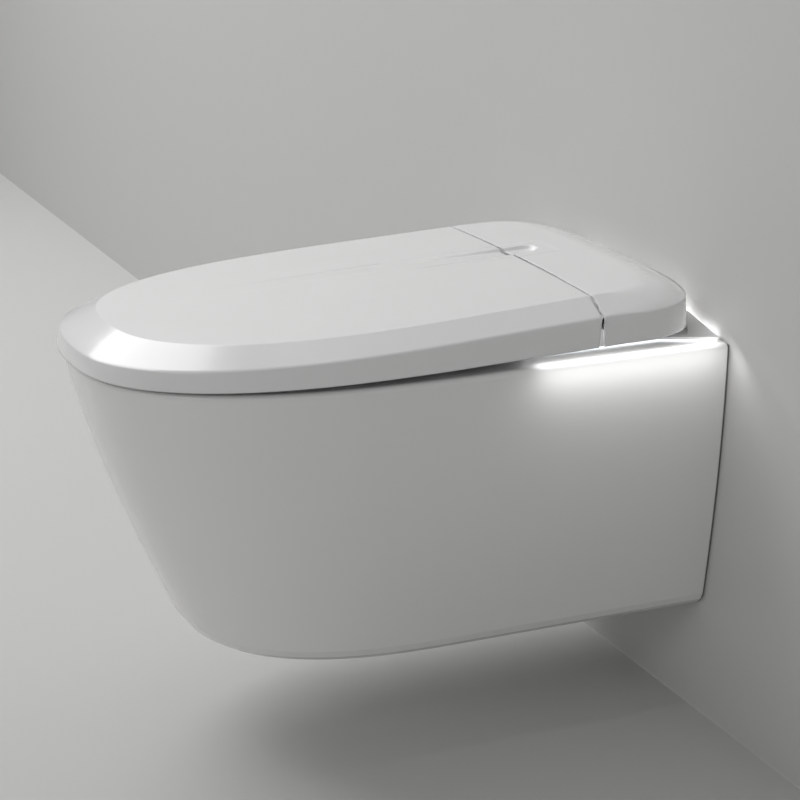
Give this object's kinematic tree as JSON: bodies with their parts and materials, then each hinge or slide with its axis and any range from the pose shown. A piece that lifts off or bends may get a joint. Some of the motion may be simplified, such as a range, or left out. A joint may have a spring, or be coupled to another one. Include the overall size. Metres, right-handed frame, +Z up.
{
  "type": "wall-hung shower toilet",
  "caption": "Wall-hung toilet with a tapered ceramic bowl, hinged crowned lid, seat, rear cover with night light, and a geared spray arm that slides out over the basin.",
  "frame": {"origin": "middle of the two wall fixings, in the wall's plane", "axes": "+X across the bowl to the right when facing the wall, -Y out of the wall into the room, +Z up"},
  "size_m": [0.3782, 0.5932, 0.3374],
  "materials": {
    "ceramic_skirt": "gloss white glaze",
    "ceramic_deck": "gloss white glaze",
    "ceramic_basin": "gloss white glaze",
    "ceramic_sump": "gloss white glaze",
    "ceramic_trap": "gloss white glaze",
    "ceramic_inlet": "gloss white glaze",
    "ceramic_lugs": "gloss white glaze",
    "wall_gasket": "closed-cell foam mat",
    "fixing_sleeves": "moulded",
    "inlet_seal": "matt black",
    "mounting_plate": "stamped",
    "mounting_bolts": "zinc plated",
    "bolt_sleeves": "matt black",
    "bolt_nuts": "turned",
    "chassis": "fine moulded grain",
    "night_light_board": "white solder mask",
    "night_light_lens": "opal diffuser, lit",
    "rear_cover": "gloss white",
    "front_fascia": "gloss white",
    "hinge_pins": "ground",
    "soft_close_dampers": "moulded",
    "seat": "gloss white",
    "seat_bumpers": "soft white",
    "lid": "gloss white",
    "lid_bumpers": "soft white",
    "spray_guide": "moulded",
    "arm_motor": "moulded",
    "spray_arm": "gloss white",
    "nozzle_tip": "gloss pale grey",
    "drive_pinion": "moulded acetal",
    "flow_heater": "moulded",
    "water_pump": "moulded",
    "inlet_valve": "moulded",
    "supply_fitting": "turned",
    "control_board": "green solder mask"
  },
  "bodies": {
    "toilet": {"ceramic_skirt": "ceramic_skirt", "ceramic_deck": "ceramic_deck", "ceramic_basin": "ceramic_basin", "ceramic_sump": "ceramic_sump", "ceramic_trap": "ceramic_trap", "ceramic_inlet": "ceramic_inlet", "ceramic_lugs": "ceramic_lugs", "wall_gasket": "wall_gasket", "fixing_sleeves": "fixing_sleeves", "inlet_seal": "inlet_seal", "mounting_plate": "mounting_plate", "mounting_bolts": "mounting_bolts", "bolt_sleeves": "bolt_sleeves", "bolt_nuts": "bolt_nuts", "chassis": "chassis", "night_light_board": "night_light_board", "night_light_lens": "night_light_lens", "rear_cover": "rear_cover", "front_fascia": "front_fascia", "hinge_pins": "hinge_pins", "soft_close_dampers": "soft_close_dampers", "seat": "seat", "seat_bumpers": "seat_bumpers", "spray_guide": "spray_guide", "arm_motor": "arm_motor", "flow_heater": "flow_heater", "water_pump": "water_pump", "inlet_valve": "inlet_valve", "supply_fitting": "supply_fitting", "control_board": "control_board"},
    "lid": {"lid": "lid", "lid_bumpers": "lid_bumpers"},
    "spray_arm": {"spray_arm": "spray_arm", "nozzle_tip": "nozzle_tip"},
    "drive_pinion": {"drive_pinion": "drive_pinion"}
  },
  "joints": [
    {"name": "lid_hinge", "type": "hinge", "parent": "toilet", "child": "lid", "pos_m": [0, -0.1515, 0.132], "axis": [-1, 0, 0], "range_deg": [0, 100]},
    {"name": "arm_slide", "type": "slide", "parent": "toilet", "child": "spray_arm", "axis": [0, -0.9976, -0.0698], "range_m": [0, 0.1]},
    {"name": "pinion_spin", "type": "hinge", "parent": "toilet", "child": "drive_pinion", "pos_m": [0.012, -0.19208, 0.10137], "axis": [0, -0.0698, 0.9976], "range_deg": [0, 1000]}
  ],
  "couplings": [
    {"joint": "pinion_spin", "follows": "arm_slide", "rad_per_m": 166.67}
  ]
}
